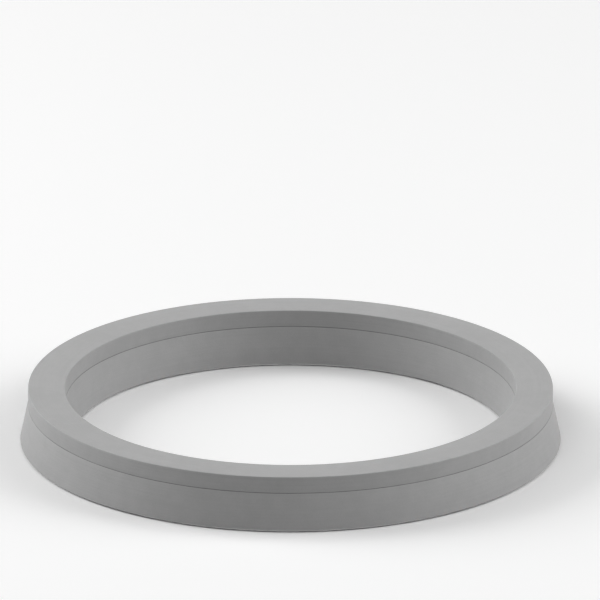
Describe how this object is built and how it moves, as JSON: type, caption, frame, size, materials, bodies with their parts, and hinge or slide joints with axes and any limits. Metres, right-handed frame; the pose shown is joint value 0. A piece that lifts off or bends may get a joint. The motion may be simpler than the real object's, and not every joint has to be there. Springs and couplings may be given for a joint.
{
  "type": "wiper seal",
  "caption": "Moulded ring seal with a U-shaped section: a flat heel and two flared lips that seal a rod and the bore round it.",
  "frame": {"origin": "on the ring's axis, level with the tips of the lips that the seal stands on", "axes": "+Z along the ring's axis, from the lips up to the heel's face; the ring is the same all the way round"},
  "size_m": [0.0914, 0.0914, 0.0095],
  "materials": {
    "elastomer": "light grey moulded elastomer, satin"
  },
  "bodies": {
    "root": {"seal_ring": "elastomer"}
  },
  "joints": []
}
